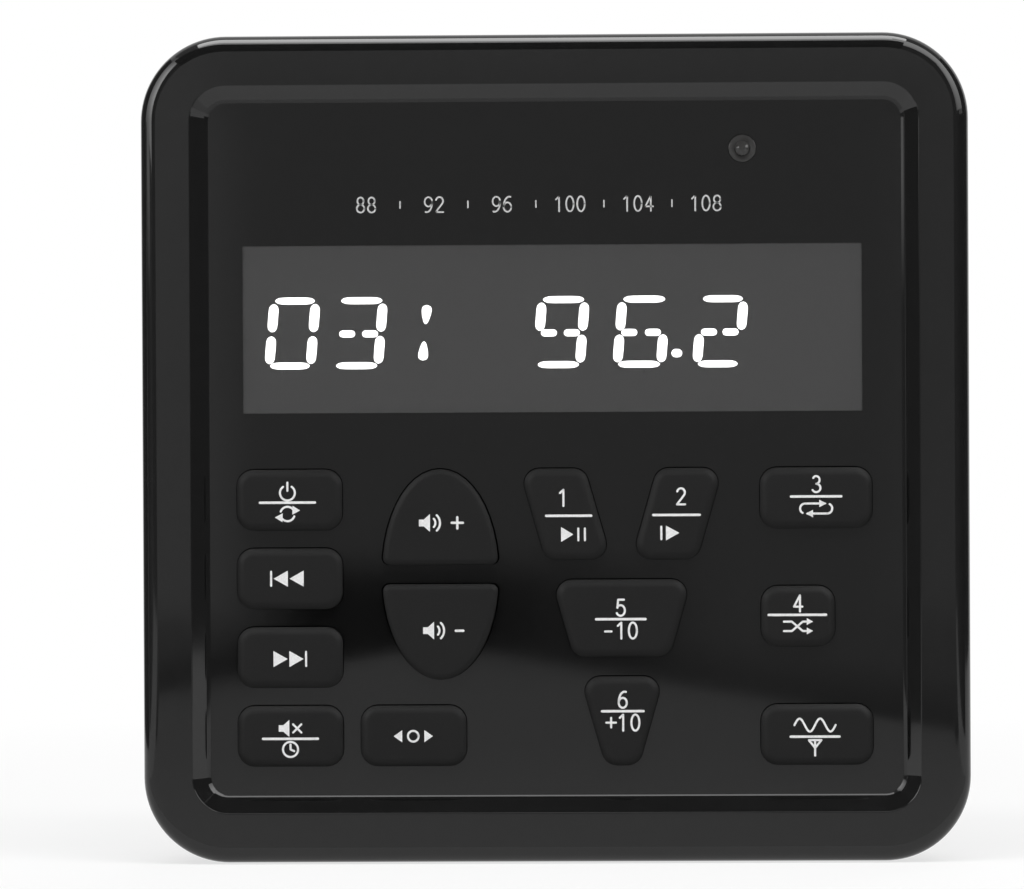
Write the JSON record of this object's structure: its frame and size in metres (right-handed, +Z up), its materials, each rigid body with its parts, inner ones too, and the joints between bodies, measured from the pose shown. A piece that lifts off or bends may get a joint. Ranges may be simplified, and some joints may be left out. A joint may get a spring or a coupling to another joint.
{
  "type": "marine stereo",
  "caption": "Square flush-mount marine radio with a gloss bevelled trim frame, a wide display window, soft press keys, a sealed body and a finned rear plate with cable glands.",
  "frame": {"origin": "centre of the mounting screw pattern, on the dash surface that the gasket seats on", "axes": "+Z up, -Y out of the face towards the user, +X to the right of someone facing it"},
  "size_m": [0.116, 0.0575, 0.116],
  "materials": {
    "frame_gloss": "gloss black moulded frame",
    "panel_gloss": "polished black panel",
    "smoked_lens": "smoked window",
    "lcd": "dark display glass",
    "white_plastic": "white moulding",
    "ir_lens": "dark tinted dome",
    "black_component": "moulded package",
    "grey_silicone": "moulded sheet",
    "circuit_board": "solder mask",
    "carbon": "conductive carbon",
    "lamp": "moulded lamp",
    "body_plastic": "fine moulded texture",
    "seal_rubber": "soft black rubber",
    "steel": "plated screw",
    "ribbon": "flat cable",
    "thermal_silicone": "soft pad",
    "capacitor_sleeve": "shrink sleeve",
    "copper_wire": "enamelled winding",
    "tin_plate": "tinned shield",
    "cast_aluminium": "cast and bead blasted",
    "key_silicone": "matt coated keys"
  },
  "bodies": {
    "body": {"front_panel": "panel_gloss", "display_lens": "smoked_lens", "lcd_glass": "lcd", "lcd_holder": "white_plastic", "light_guide": "white_plastic", "ir_window": "ir_lens", "ir_receiver": "black_component", "keypad_mat": "grey_silicone", "front_board": "circuit_board", "contact_pads": "carbon", "key_lamps": "lamp", "front_housing": "body_plastic", "flange_gasket": "seal_rubber", "board_screws": "steel", "main_board": "circuit_board", "main_board_screws": "steel", "ribbon_sockets": "white_plastic", "ribbon_cable": "ribbon", "amplifier_chip": "black_component", "thermal_pad": "thermal_silicone", "processor_chip": "black_component", "capacitors": "capacitor_sleeve", "choke": "copper_wire", "tuner_can": "tin_plate", "wireless_module": "tin_plate", "rear_plate": "cast_aluminium", "rear_seal": "seal_rubber", "rear_screws": "steel", "wiring_gland": "seal_rubber", "data_gland": "seal_rubber", "aerial_gland": "seal_rubber"},
    "trim": {"trim_frame": "frame_gloss"},
    "button_power": {"key_power": "key_silicone", "pill_power": "carbon"},
    "button_previous": {"key_previous": "key_silicone", "pill_previous": "carbon"},
    "button_next": {"key_next": "key_silicone", "pill_next": "carbon"},
    "button_mute": {"key_mute": "key_silicone", "pill_mute": "carbon"},
    "button_select": {"key_select": "key_silicone", "pill_select": "carbon"},
    "button_volume_up": {"key_volume_up": "key_silicone", "pill_volume_up": "carbon"},
    "button_volume_down": {"key_volume_down": "key_silicone", "pill_volume_down": "carbon"},
    "button_preset_1": {"key_preset_1": "key_silicone", "pill_preset_1": "carbon"},
    "button_preset_2": {"key_preset_2": "key_silicone", "pill_preset_2": "carbon"},
    "button_preset_3": {"key_preset_3": "key_silicone", "pill_preset_3": "carbon"},
    "button_preset_4": {"key_preset_4": "key_silicone", "pill_preset_4": "carbon"},
    "button_preset_5": {"key_preset_5": "key_silicone", "pill_preset_5": "carbon"},
    "button_preset_6": {"key_preset_6": "key_silicone", "pill_preset_6": "carbon"},
    "button_band": {"key_band": "key_silicone", "pill_band": "carbon"}
  },
  "joints": [
    {"name": "trim_pull", "type": "slide", "parent": "body", "child": "trim", "axis": [0, -1, 0], "range_m": [0, 0.03]},
    {"name": "press_power", "type": "slide", "parent": "body", "child": "button_power", "axis": [0, 1, 0], "range_m": [0, 0.001], "stiffness_N_per_m": 1200},
    {"name": "press_previous", "type": "slide", "parent": "body", "child": "button_previous", "axis": [0, 1, 0], "range_m": [0, 0.001], "stiffness_N_per_m": 1200},
    {"name": "press_next", "type": "slide", "parent": "body", "child": "button_next", "axis": [0, 1, 0], "range_m": [0, 0.001], "stiffness_N_per_m": 1200},
    {"name": "press_mute", "type": "slide", "parent": "body", "child": "button_mute", "axis": [0, 1, 0], "range_m": [0, 0.001], "stiffness_N_per_m": 1200},
    {"name": "press_select", "type": "slide", "parent": "body", "child": "button_select", "axis": [0, 1, 0], "range_m": [0, 0.001], "stiffness_N_per_m": 1200},
    {"name": "press_volume_up", "type": "slide", "parent": "body", "child": "button_volume_up", "axis": [0, 1, 0], "range_m": [0, 0.001], "stiffness_N_per_m": 1200},
    {"name": "press_volume_down", "type": "slide", "parent": "body", "child": "button_volume_down", "axis": [0, 1, 0], "range_m": [0, 0.001], "stiffness_N_per_m": 1200},
    {"name": "press_preset_1", "type": "slide", "parent": "body", "child": "button_preset_1", "axis": [0, 1, 0], "range_m": [0, 0.001], "stiffness_N_per_m": 1200},
    {"name": "press_preset_2", "type": "slide", "parent": "body", "child": "button_preset_2", "axis": [0, 1, 0], "range_m": [0, 0.001], "stiffness_N_per_m": 1200},
    {"name": "press_preset_3", "type": "slide", "parent": "body", "child": "button_preset_3", "axis": [0, 1, 0], "range_m": [0, 0.001], "stiffness_N_per_m": 1200},
    {"name": "press_preset_4", "type": "slide", "parent": "body", "child": "button_preset_4", "axis": [0, 1, 0], "range_m": [0, 0.001], "stiffness_N_per_m": 1200},
    {"name": "press_preset_5", "type": "slide", "parent": "body", "child": "button_preset_5", "axis": [0, 1, 0], "range_m": [0, 0.001], "stiffness_N_per_m": 1200},
    {"name": "press_preset_6", "type": "slide", "parent": "body", "child": "button_preset_6", "axis": [0, 1, 0], "range_m": [0, 0.001], "stiffness_N_per_m": 1200},
    {"name": "press_band", "type": "slide", "parent": "body", "child": "button_band", "axis": [0, 1, 0], "range_m": [0, 0.001], "stiffness_N_per_m": 1200}
  ]
}
